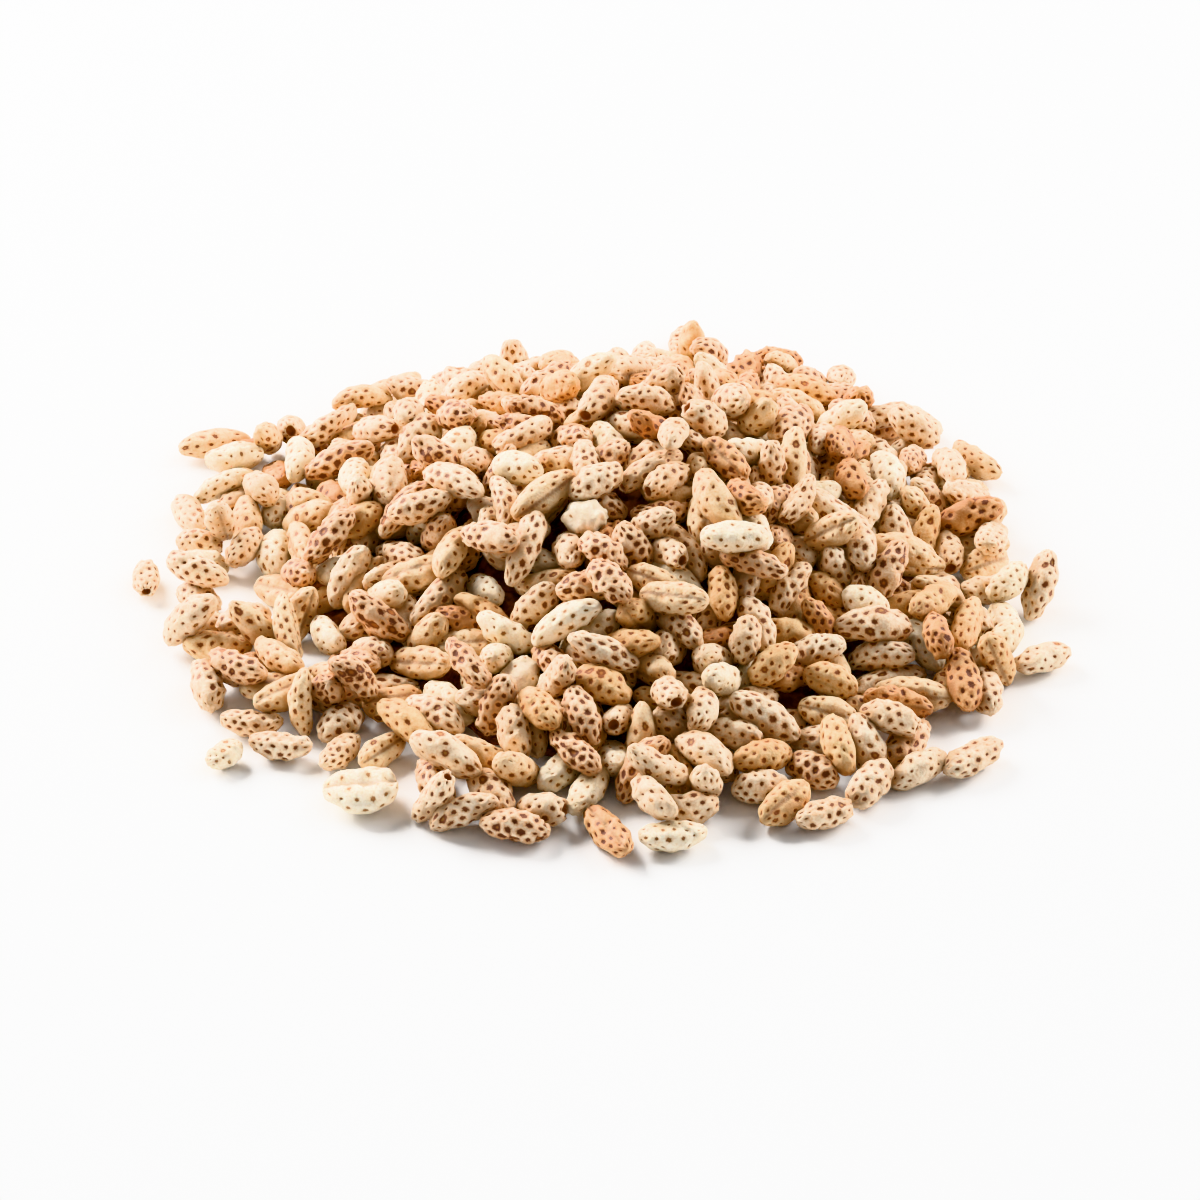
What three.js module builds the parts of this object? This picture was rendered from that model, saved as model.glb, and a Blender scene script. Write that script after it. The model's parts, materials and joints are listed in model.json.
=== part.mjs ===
// A loose heap of puffed barley on a table, with eleven grains lying apart from it.
// Millimetres, +Z up. The origin is on the table, at the middle of the heap's base.
// +X is the heap's right and -Y its front.
//
// The heap is one solid out to its uneven outline: a rounded cone with a spread foot, covered by
// the upper halves of grains that lie on its slope. Each grain apart from it is a solid of its own.
import * as THREE from 'three';

// ---- Driving dimensions ------------------------------------------------------------------------

// One puffed grain: a spindle with a crease along its upper side.
const GRAIN_LENGTH = 10.5;
const GRAIN_WIDTH = 4.7;
const GRAIN_THICKNESS = 4.2;
const GRAIN_SIZE_SPREAD = 0.14;

// The heap.
const HEAP_RADIUS = 61.5;
const HEAP_HEIGHT = 27;
const SUMMIT = { x: 5, y: 8 };
const FOOT_HEIGHT = 2;
const CONE_SHARE = 0.25;
const SHOULDER = 1.15;
const RIM_UNDERCUT = 0.9;
const RIM_SMOOTHING = THREE.MathUtils.degToRad(1.6);
const OUTLINE_SWELLS = [
  { at: 20, width: 8, amount: 3 },
  { at: 40, width: 7, amount: 3 },
  { at: 60, width: 8, amount: 5 },
  { at: 104, width: 12, amount: -4 },
  { at: 138, width: 9, amount: -5 },
  { at: 151, width: 7, amount: 8 },
  { at: 168, width: 9, amount: 2.5 },
  { at: 193, width: 9, amount: 2.5 },
  { at: 230, width: 14, amount: -6 },
  { at: 270, width: 10, amount: 2 },
  { at: 292, width: 7, amount: -2 },
  { at: 309, width: 6, amount: 3 },
  { at: 321, width: 5, amount: -3 },
  { at: 336, width: 9, amount: 4 },
];

// The grains in the heap's surface.
const SURFACE_GRAINS = 270;
const GRAIN_RISE = 0.5;
const GRAIN_TILT = 0.35;
const HEAP_RINGS = 34;

// The grains that lie apart: place, turn about Z in degrees, length, width, thickness, crease depth.
const APART = {
  apart_left: { x: -70, y: -1.7, turn: 97, length: 8.6, width: 4.1, thickness: 3.9, crease: 0.1 },
  apart_right: { x: 65.8, y: -22.8, turn: 27, length: 9.6, width: 4.7, thickness: 4.2, crease: 0.1 },
  apart_front_right: { x: 53.2, y: -46.9, turn: 39, length: 10.9, width: 4.9, thickness: 4.3, crease: 0.1 },
  apart_front_holed: { x: 31.4, y: -59.7, turn: 21, length: 8.8, width: 4.6, thickness: 4.2, crease: 0.1 },
  apart_front_pale: { x: 10.1, y: -64.4, turn: 7, length: 9.6, width: 4.8, thickness: 4.2, crease: 0.5 },
  apart_front_wide: { x: -33.7, y: -54.9, turn: 6, length: 10.6, width: 8.8, thickness: 5, crease: 0.9 },
  apart_left_lean: { x: -37.2, y: -45.6, turn: 58, length: 8.4, width: 4.2, thickness: 4, crease: 0.1 },
  apart_left_front: { x: -45.8, y: -44.2, turn: -9, length: 9.2, width: 4.1, thickness: 4, crease: 0.1 },
  apart_left_mid: { x: -50.4, y: -38.6, turn: -6, length: 9.2, width: 4.1, thickness: 3.9, crease: 0.1 },
  apart_left_pale: { x: -53.8, y: -46, turn: 48, length: 6.2, width: 4.2, thickness: 3.8, crease: 0.1 },
  apart_back: { x: 14.1, y: 69.5, turn: 80, length: 8.4, width: 4.4, thickness: 4, crease: 0.1 },
};
const APART_CLEARANCE = 0.8;
const FLAT_SPOT_DEPTH = 0.16;
const GRAIN_SECTIONS = 7;
const GRAIN_SIDES = 12;

// Colours of the toasted shell.
const HEAP_COLOUR = 0xd9b384;
const APART_COLOUR = 0xe8cda4;
const SHELL_ROUGHNESS = 0.8;

// ---- Small helpers -----------------------------------------------------------------------------

const TURN = 2 * Math.PI;
const GOLDEN_ANGLE = Math.PI * (3 - Math.sqrt(5));
const UP = new THREE.Vector3(0, 0, 1);

// A repeatable random number from 0 to 1 for a whole number and a named purpose.
function chance(index, purpose) {
  const wave = Math.sin(index * 12.9898 + purpose * 78.233) * 43758.5453;
  return wave - Math.floor(wave);
}

// The signed shortest way from one angle to another, in degrees.
function angleGap(from, to) {
  return ((to - from + 540) % 360) - 180;
}

function meshOf(name, positions, triangles, colour) {
  const geometry = new THREE.BufferGeometry();
  geometry.setAttribute('position', new THREE.Float32BufferAttribute(positions.flat(), 3));
  geometry.setIndex(triangles.flat());
  geometry.computeVertexNormals();
  const material = new THREE.MeshStandardMaterial({ color: colour, roughness: SHELL_ROUGHNESS, metalness: 0 });
  const mesh = new THREE.Mesh(geometry, material);
  mesh.name = name;
  return mesh;
}

// ---- The heap's dome and outline ---------------------------------------------------------------

// How high the dome stands at a share of the way out, 1 at the summit and 0 at the foot: part cone,
// part bell, so that the summit is round and the foot runs out flat.
function domeShare(out) {
  const bell = 0.5 + 0.5 * Math.cos(Math.PI * out ** SHOULDER);
  return CONE_SHARE * (1 - out) + (1 - CONE_SHARE) * bell;
}

function domeHeight(out) {
  const crown = HEAP_HEIGHT - FOOT_HEIGHT - GRAIN_THICKNESS / 2 - GRAIN_RISE;
  return FOOT_HEIGHT + crown * domeShare(Math.min(out, 1));
}

// The dome's outline before grains stick out of it.
function outlineRadius(angle) {
  const degrees = THREE.MathUtils.radToDeg(angle);
  let radius = HEAP_RADIUS;
  for (const swell of OUTLINE_SWELLS) {
    const gap = angleGap(swell.at, degrees) / swell.width;
    radius += swell.amount * Math.exp(-gap * gap);
  }
  return radius;
}

// The point of the footprint that is a given share of the way out along an angle.
function footprintPoint(angle, out, radius) {
  return {
    x: SUMMIT.x * (1 - out) + radius * Math.cos(angle) * out,
    y: SUMMIT.y * (1 - out) + radius * Math.sin(angle) * out,
  };
}

// ---- Grains as ellipsoids in the heap's surface ------------------------------------------------

// An ellipsoid lying on the slope, as the quadratic form that its surface keeps at 1.
function surfaceGrain(index) {
  const out = Math.sqrt((index + 0.5) / SURFACE_GRAINS);
  const angle = index * GOLDEN_ANGLE;
  const radius = outlineRadius(angle);
  const centre = footprintPoint(angle, out * 0.985, radius);
  const step = 0.01;
  const slope = (domeHeight(out - step) - domeHeight(out + step)) / (2 * step * radius);
  const normal = new THREE.Vector3(slope * Math.cos(angle), slope * Math.sin(angle), 1).normalize();
  const lean = GRAIN_TILT * (chance(index, 1) - 0.5) * (1 - out);
  const turn = new THREE.Quaternion().setFromUnitVectors(UP, normal);
  turn.multiply(new THREE.Quaternion().setFromAxisAngle(UP, chance(index, 2) * Math.PI));
  turn.multiply(new THREE.Quaternion().setFromAxisAngle(new THREE.Vector3(0, 1, 0), lean));
  const size = 1 + GRAIN_SIZE_SPREAD * (2 * chance(index, 3) - 1);
  const axes = new THREE.Matrix4().makeRotationFromQuaternion(turn).elements;
  const halves = [GRAIN_LENGTH / 2, GRAIN_WIDTH / 2, GRAIN_THICKNESS / 2].map((half) => half * size);
  const form = (a, b) => halves.reduce((sum, half, k) => sum + (axes[4 * k + a] * axes[4 * k + b]) / half ** 2, 0);
  return {
    ...centre,
    z: domeHeight(out) + GRAIN_RISE * (1 - out),
    reach: halves[0],
    xx: form(0, 0),
    yy: form(1, 1),
    zz: form(2, 2),
    xy: form(0, 1),
    xz: form(0, 2),
    yz: form(1, 2),
  };
}

// The height of a grain's upper side over a point, or -Infinity beside the grain.
function grainTop(grain, x, y) {
  const dx = x - grain.x;
  const dy = y - grain.y;
  if (dx * dx + dy * dy > grain.reach ** 2) return -Infinity;
  const half = grain.xz * dx + grain.yz * dy;
  const rest = grain.xx * dx * dx + 2 * grain.xy * dx * dy + grain.yy * dy * dy - 1;
  const root = half * half - grain.zz * rest;
  return root < 0 ? -Infinity : grain.z + (Math.sqrt(root) - half) / grain.zz;
}

// How far out along an angle a level ellipse is entered and left, or null where it is missed.
function ellipseCrossing(ellipse, angle) {
  const ux = Math.cos(angle);
  const uy = Math.sin(angle);
  const a = ellipse.xx * ux * ux + 2 * ellipse.xy * ux * uy + ellipse.yy * uy * uy;
  const b = -(ellipse.xx * ellipse.x * ux + ellipse.xy * (ellipse.x * uy + ellipse.y * ux) + ellipse.yy * ellipse.y * uy);
  const c = ellipse.xx * ellipse.x ** 2 + 2 * ellipse.xy * ellipse.x * ellipse.y + ellipse.yy * ellipse.y ** 2 - 1;
  const root = b * b - a * c;
  if (root < 0 || b > 0) return null;
  return { enter: (-b - Math.sqrt(root)) / a, leave: (-b + Math.sqrt(root)) / a };
}

// The ellipse round a grain that lies apart, widened by the clearance that the heap keeps to it.
function keepOut(place) {
  const turn = THREE.MathUtils.degToRad(place.turn);
  const long = place.length / 2 + APART_CLEARANCE;
  const wide = place.width / 2 + APART_CLEARANCE;
  const cos = Math.cos(turn);
  const sin = Math.sin(turn);
  return {
    x: place.x,
    y: place.y,
    xx: (cos / long) ** 2 + (sin / wide) ** 2,
    yy: (sin / long) ** 2 + (cos / wide) ** 2,
    xy: cos * sin * (1 / long ** 2 - 1 / wide ** 2),
  };
}

// ---- The heap's solid --------------------------------------------------------------------------

// How far out the dome or a grain that sticks out of it reaches.
function grainReach(angle, grains) {
  let radius = outlineRadius(angle);
  for (const grain of grains) {
    const crossing = ellipseCrossing(grain, angle);
    if (crossing && crossing.enter < radius) radius = Math.max(radius, crossing.leave);
  }
  return radius;
}

// The true outline, with its points blunted a little, and clear of the grains that lie apart.
function rimRadius(angle, grains, keepOuts) {
  let radius = 0;
  for (const side of [-1, 0, 1]) {
    radius += grainReach(angle + side * RIM_SMOOTHING, grains) / 3;
  }
  for (const ellipse of keepOuts) {
    const crossing = ellipseCrossing(ellipse, angle);
    if (crossing && crossing.enter < radius) radius = crossing.enter;
  }
  return radius;
}

// A round net of triangles: ring k has 6k points, so the triangles stay nearly even in size.
function ringNet(rings) {
  const start = (ring) => (ring === 0 ? 0 : 1 + 3 * ring * (ring - 1));
  const at = (ring, step) => (ring === 0 ? 0 : start(ring) + (step % (6 * ring)));
  const triangles = [];
  for (let ring = 1; ring <= rings; ring += 1) {
    for (let sector = 0; sector < 6; sector += 1) {
      for (let step = 0; step < ring; step += 1) {
        const outer = sector * ring + step;
        const inner = sector * (ring - 1) + step;
        triangles.push([at(ring - 1, inner), at(ring, outer), at(ring, outer + 1)]);
        if (step < ring - 1) {
          triangles.push([at(ring - 1, inner), at(ring, outer + 1), at(ring - 1, inner + 1)]);
        }
      }
    }
  }
  return { triangles, rimStart: start(rings), rimCount: 6 * rings };
}

function buildHeap() {
  const grains = Array.from({ length: SURFACE_GRAINS }, (_, index) => surfaceGrain(index));
  const rimGrains = grains.filter((grain) => Math.hypot(grain.x, grain.y) > HEAP_RADIUS - GRAIN_LENGTH);
  const keepOuts = Object.values(APART).map(keepOut);

  const positions = [[SUMMIT.x, SUMMIT.y, HEAP_HEIGHT]];
  for (let ring = 1; ring <= HEAP_RINGS; ring += 1) {
    for (let step = 0; step < 6 * ring; step += 1) {
      const angle = (TURN * step) / (6 * ring);
      const out = ring / HEAP_RINGS;
      const { x, y } = footprintPoint(angle, out, rimRadius(angle, rimGrains, keepOuts));
      const tops = grains.map((grain) => grainTop(grain, x, y));
      positions.push([x, y, Math.max(domeHeight(out), ...tops)]);
    }
  }

  // The rim drops to the table and tucks in a little, as the grains at the foot are round below.
  const { triangles, rimStart, rimCount } = ringNet(HEAP_RINGS);
  const footStart = positions.length;
  for (let step = 0; step < rimCount; step += 1) {
    const [x, y] = positions[rimStart + step];
    const tuck = 1 - RIM_UNDERCUT / Math.hypot(x, y);
    positions.push([x * tuck, y * tuck, 0]);
  }
  const middle = positions.length;
  positions.push([SUMMIT.x, SUMMIT.y, 0]);
  for (let step = 0; step < rimCount; step += 1) {
    const next = (step + 1) % rimCount;
    triangles.push([rimStart + step, footStart + step, footStart + next]);
    triangles.push([rimStart + step, footStart + next, rimStart + next]);
    triangles.push([middle, footStart + next, footStart + step]);
  }
  return meshOf('barley_heap', positions, triangles, HEAP_COLOUR);
}

// ---- The grains that lie apart -----------------------------------------------------------------

// One grain along X: sections that swell and close like a spindle, with a crease along the top and
// a small flat spot where it rests.
function buildGrain(name, place) {
  const lowest = place.thickness / 2 - FLAT_SPOT_DEPTH;
  const positions = [[-place.length / 2, 0, lowest]];
  for (let section = 1; section <= GRAIN_SECTIONS; section += 1) {
    const along = Math.cos(Math.PI * (1 - section / (GRAIN_SECTIONS + 1)));
    const girth = Math.sqrt(1 - along ** 2) ** 0.85;
    for (let side = 0; side < GRAIN_SIDES; side += 1) {
      const angle = (TURN * side) / GRAIN_SIDES + Math.PI / 2;
      const fold = Math.exp(-((angleGap(90, THREE.MathUtils.radToDeg(angle)) / 20) ** 2));
      const y = (place.width / 2) * girth * Math.cos(angle);
      const z = lowest + (place.thickness / 2) * girth * Math.sin(angle) - place.crease * girth * fold;
      positions.push([(place.length / 2) * along, y, Math.max(z, 0)]);
    }
  }
  const tip = positions.length;
  positions.push([place.length / 2, 0, lowest]);

  const triangles = [];
  const at = (section, side) => 1 + section * GRAIN_SIDES + (side % GRAIN_SIDES);
  for (let side = 0; side < GRAIN_SIDES; side += 1) {
    triangles.push([0, at(0, side + 1), at(0, side)]);
    for (let section = 0; section < GRAIN_SECTIONS - 1; section += 1) {
      triangles.push([at(section, side), at(section, side + 1), at(section + 1, side + 1)]);
      triangles.push([at(section, side), at(section + 1, side + 1), at(section + 1, side)]);
    }
    triangles.push([tip, at(GRAIN_SECTIONS - 1, side), at(GRAIN_SECTIONS - 1, side + 1)]);
  }
  const mesh = meshOf(name, positions, triangles, APART_COLOUR);
  mesh.position.set(place.x, place.y, 0);
  mesh.rotation.z = THREE.MathUtils.degToRad(place.turn);
  return mesh;
}

// ---- The whole ---------------------------------------------------------------------------------

const barley = new THREE.Group();
barley.name = 'puffed_barley';
barley.add(buildHeap());
for (const [name, place] of Object.entries(APART)) {
  barley.add(buildGrain(name, place));
}

export default barley;
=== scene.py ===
"""Heap of puffed barley: separate grains that have settled on each other, over a smaller core that is
painted dark brown as the shade deep in the heap.

The grains that lie apart from the heap keep the places that the CAD part gives them, and those round the
heap's outline lie flat on the floor. The others are stacked on the core and settle under their own weight.
"""

import json
import math
from dataclasses import dataclass

import bpy
import numpy as np
from mathutils import Matrix, Vector
from mathutils.bvhtree import BVHTree

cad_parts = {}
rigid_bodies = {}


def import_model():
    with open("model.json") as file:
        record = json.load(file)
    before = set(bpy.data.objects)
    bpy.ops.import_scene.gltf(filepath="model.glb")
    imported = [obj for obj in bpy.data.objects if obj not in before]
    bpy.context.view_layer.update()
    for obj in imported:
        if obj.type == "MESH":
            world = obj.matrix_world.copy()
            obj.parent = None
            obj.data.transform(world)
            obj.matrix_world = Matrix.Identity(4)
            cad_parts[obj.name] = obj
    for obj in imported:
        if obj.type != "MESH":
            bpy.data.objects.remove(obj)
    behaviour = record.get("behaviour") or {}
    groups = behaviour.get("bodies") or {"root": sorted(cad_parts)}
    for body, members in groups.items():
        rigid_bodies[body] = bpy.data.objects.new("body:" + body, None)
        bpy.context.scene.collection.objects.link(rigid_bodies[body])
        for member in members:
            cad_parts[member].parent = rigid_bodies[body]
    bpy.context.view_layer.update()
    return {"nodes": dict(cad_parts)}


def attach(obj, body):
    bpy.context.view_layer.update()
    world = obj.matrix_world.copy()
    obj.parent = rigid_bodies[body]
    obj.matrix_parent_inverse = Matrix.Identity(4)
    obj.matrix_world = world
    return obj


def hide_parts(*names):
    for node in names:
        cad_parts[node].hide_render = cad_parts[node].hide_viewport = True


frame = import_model()

MM = 0.001
UP = Vector((0, 0, 1))
SEED = 41

# A grain's usual size
GRAIN_LENGTH = 10.4 * MM
GRAIN_WIDTH = 4.95 * MM
GRAIN_THICKNESS = 4.4 * MM
LENGTH_SPREAD = 0.08
WIDTH_SPREAD = 0.07
FLATNESS_RANGE = (0.94, 1.05)

# How much of a grain's length, on each side of its middle, counts as its axis where gaps are measured
AXIS_HALF = 0.34

# The heap and the core under its grains
SUMMIT = Vector((5 * MM, 8 * MM, 0))
CORE_SHRINK = (0.76, 0.76, 0.72)
HEAP_REACH = 68 * MM
FOOT_HEIGHT = 5.5 * MM
SLOPE_REACH = 7 * MM

# The heap's outline, searched outward from a distance that is inside it everywhere
EDGE_START = 30 * MM
EDGE_STEP = 0.5 * MM

# The grains that lie round the outline: how far inside it they start, how many millimetres deeper some
# go, the step along it, how close two of them lie, how close one of the photo's lies, and how many are
# tried at a place
RIM_SETBACK = 2.6 * MM
RIM_WANDER = 2
RIM_STEP = 3.5 * MM
RIM_GAP = 4.4 * MM
FOOT_GAP = 3.6 * MM
RIM_TRIES = 12

# Stacking: how close the axes of two grains come, and how far over the heap's surface grains are stacked
# before they settle, for each pass over the inside and for the outside
STACK_GAP = 3.7 * MM
INSIDE_RISES = (9 * MM, 6 * MM, 4 * MM)
OUTSIDE_RISE = 1.5 * MM
STACK_TRIES = 9000

# The hollows that are left: how high the heap is there, how deep they are, and the step of the search.
# For the grain put in each: how deep its middle lies, how far it leans, how close its axis comes to the
# floor and to the other axes, how near those are, and how many grains are tried
HOLLOW_ROOF = 5.5 * MM
HOLLOW_DEPTH = 3.2 * MM
HOLLOW_STEP = 2.0 * MM
HOLLOW_MIDDLES = (3.0 * MM, 4.2 * MM, 5.4 * MM)
HOLLOW_LEAN = 0.75
HOLLOW_FLOOR = 0.4 * GRAIN_THICKNESS
HOLLOW_GAP = 2.7 * MM
HOLLOW_NEAR = 1.2 * GRAIN_LENGTH
HOLLOW_CHOICES = 12

# The photo's own grains: how many degrees their crease turns away from the camera, their shortest and
# longest length and how deep they lie, as parts of a usual grain's size, how far they may rise over the
# heap, and how far other axes keep from theirs, from above and in all
CREASE_TURN = 150
PHOTO_LENGTHS = (0.8, 1.2)
PHOTO_DEPTH = 0.4
PHOTO_LIFT = 2.5 * MM
PHOTO_GAP = 3.8 * MM
ROOM_GAP = 2.9 * MM

# Which settled grains are kept: how near the outline, how high over the floor and over the heap
OUTLINE_MARGIN = 0.91
LOWEST_MIDDLE = 0.5 * MM
HIGHEST_RISE = 3.0 * MM

# Which grains can be seen: the pitch of the looks at the heap and how many there are all round, how far
# off the skin a look starts, and how squarely it has to meet the skin
LOOK_RINGS = ((0.15, 10), (0.6, 8), (1.1, 5), (1.57, 1))
LOOK_START = 0.2 * MM
LOOK_FACING = 0.05

# Settling. The bumps of one grain go into the pits of the next, so contacts are a little inside the
# skin, on a simple grain with a few rings of points between its tips
CONTACT_SIZE = 0.95
SIMPLE_RINGS = 5
SIMPLE_SIDES = 8
SIMPLE_BLUNTNESS = 0.55
SIM_SCALE = 100
SIM_SUBSTEPS = 10
SIM_ITERATIONS = 12
SIM_MARGIN = 0.01
SIM_FLOOR_REACH = 200 * MM
SIM_FLOOR_DEPTH = 20 * MM
FILL_FRAMES = 36
TOP_FRAMES = 30
FRICTION = 1.1
MOVE_DAMPING = 0.97
TURN_DAMPING = 0.97

# The camera, as the photo shows the heap: 6.5 of the photo's pixels are 1 mm at the target
PHOTO_PIXELS = 1200
CAMERA_DISTANCE = 500 * MM
CAMERA_ELEVATION = math.radians(35)
CAMERA_TARGET = Vector((0, -4.6 * MM, 0))
CAMERA_LENS = 97.5
CAMERA_SENSOR = 36
CAMERA_AHEAD = Vector((0, math.cos(CAMERA_ELEVATION), -math.sin(CAMERA_ELEVATION)))
CAMERA_RIGHT = Vector((1, 0, 0))
CAMERA_UP = CAMERA_RIGHT.cross(CAMERA_AHEAD)
CAMERA_PLACE = CAMERA_TARGET - CAMERA_AHEAD * CAMERA_DISTANCE

# The studio: each lamp's place and its power in watts, and the floor
LAMPS = {
    "back_left": ((-0.36, 0.31, 0.27), 14.5),
    "back_right": ((0.4, 0.26, 0.26), 6.2),
    "left": ((-0.5, 0.06, 0.14), 1.8),
    "right": ((0.5, 0.06, 0.14), 1.8),
}
LAMP_SIZE = 0.4
LAMP_TARGET = (0, 0, 0.01)
WORLD_STRENGTH = 0.27
FLOOR_REACH = 4.0
FLOOR_GREY = 0.9

# The lattice that each grain's skin is made on, and the margin round a grain on the flat map
COLUMNS = 30
ROWS = 26
MAP_MARGIN = 0.03

# A grain's outline: how blunt its tips are and how much fuller one half is. An open end from the inside
# out: depths in millimetres, girths as parts of the rim's, and how much each place counts as hollow
OUTLINE_POINTS = 161
BLUNTNESS = (0.42, 0.55)
FULLER_HALF = 0.1
OPEN_RIM = (0.42, 0.52)
OPEN_DEPTHS = (1.2, 1.15, 0.9, 0.45, 0.1, -0.06)
OPEN_GIRTHS = (0, 0.35, 0.6, 0.68, 0.74, 0.88)
OPEN_HOLLOW = (1, 1, 1, 1, 0.7, 0)

# The crease and the thin strip in its middle: their widths round the grain in radians, the strip's
# height as a part of the crease's depth, how much the depth varies, and how far grains bend
CREASE_WIDTH = 0.26
STRIP_WIDTH = 0.09
STRIP_HEIGHT = 0.35
CREASE_SPREAD = (0.6, 1.25)
BEND_RANGE = (0.0, 0.09)

# Pits: their sizes, how much wider big ones are, where each goes from its deepest to nothing, and how
# much of each is filled in the crease
PIT_SIZES = (0.7, 1.15)
BIG_PIT = 1.6
PIT_RANGE = (0.1, 1.6)
CREASE_FILL = 0.7

# How far from a neighbour's axis the painted shade between touching grains goes
PAINTED_SHADE_RANGE = (2.3 * MM, 3.7 * MM)
NEIGHBOUR_RANGE = 1.3 * GRAIN_LENGTH

# Colours that all grains share, and the core's, from 0 to 255. The core's two browns are painted shade for
# the deepest gaps
HOLE_BROWN = (140, 82, 44)
CORE_DARK = (70, 30, 14)
CORE_LIGHT = (120, 62, 30)


@dataclass(frozen=True)
class Kind:
    """What the grains of one kind have in common.

    Colours are red, green and blue from 0 to 255. Pits and big pits are parts of the lattice's places, the
    crease is a part of the girth, and the stretch is along, across and up.
    """

    share: float
    ridge: tuple
    blush: tuple
    # The pit colour: the bran's brown, made darker as painted shade inside the pits, and also used for the
    # crease's painted shade
    pit: tuple
    pit_floor: tuple
    pits: float = 0.85
    pit_size: float = 1.0
    pit_depth: float = 0.30 * MM
    big_pits: float = 0.05
    crease: float = 0.16
    lumps: float = 0.14 * MM
    stretch: tuple = (1.0, 1.0, 1.0)
    toast: float = 0.35
    open_end: bool = False


KINDS = {
    "speckled": Kind(0.20, (250, 238, 214), (216, 172, 128), (98, 46, 20), (150, 104, 54),
                     pits=0.94, pit_size=1.15, pit_depth=0.34 * MM, big_pits=0.06, lumps=0.17 * MM),
    "freckled": Kind(0.13, (249, 235, 210), (218, 176, 132), (108, 54, 26), (156, 108, 60),
                     pits=0.92, pit_size=0.9, pit_depth=0.28 * MM, big_pits=0.12, lumps=0.18 * MM),
    "spotted": Kind(0.16, (246, 226, 196), (206, 152, 106), (84, 36, 16), (150, 92, 46),
                    pits=0.96, pit_size=1.3, pit_depth=0.40 * MM, big_pits=0.16, lumps=0.20 * MM,
                    toast=0.5),
    "creased": Kind(0.16, (247, 230, 196), (216, 168, 118), (104, 50, 22), (160, 110, 60),
                    pits=0.8, crease=0.36, lumps=0.12 * MM, stretch=(1.04, 1.0, 0.95)),
    "pale": Kind(0.13, (253, 245, 226), (232, 204, 162), (130, 80, 42), (180, 136, 88),
                 pits=0.82, pit_size=0.95, pit_depth=0.26 * MM, big_pits=0.06, toast=0.2),
    "golden": Kind(0.10, (240, 212, 166), (210, 154, 100), (110, 54, 22), (156, 98, 46),
                   pit_size=1.05, big_pits=0.08, crease=0.2, toast=0.45),
    "toasted": Kind(0.05, (232, 192, 144), (192, 130, 82), (80, 36, 18), (130, 76, 38),
                    pits=0.92, pit_size=1.25, pit_depth=0.36 * MM, crease=0.26, lumps=0.22 * MM,
                    stretch=(0.96, 1.0, 0.9), toast=0.6),
    "holed": Kind(0.07, (249, 234, 208), (216, 170, 124), (94, 44, 20), (150, 100, 52),
                  pits=0.92, pit_size=1.1, pit_depth=0.34 * MM, big_pits=0.06, lumps=0.16 * MM,
                  stretch=(0.94, 1.0, 1.0), open_end=True),
    "popped": Kind(0.004, (252, 242, 224), (236, 212, 176), (176, 122, 76), (214, 176, 128),
                   pits=0.3, crease=0.05, lumps=0.34 * MM, stretch=(0.68, 1.22, 1.22), toast=0.2),
    "wide": Kind(0.0, (252, 242, 222), (230, 204, 162), (146, 96, 54), (190, 146, 98),
                 pit_size=0.85, pit_depth=0.24 * MM, crease=0.6, lumps=0.18 * MM, toast=0.15),
}

APART_KINDS = {
    "apart_left": "holed", "apart_right": "freckled", "apart_front_right": "speckled",
    "apart_front_holed": "holed", "apart_front_pale": "pale", "apart_front_wide": "wide",
    "apart_left_lean": "speckled", "apart_left_front": "speckled", "apart_left_mid": "speckled",
    "apart_left_pale": "pale", "apart_back": "speckled",
}

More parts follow.
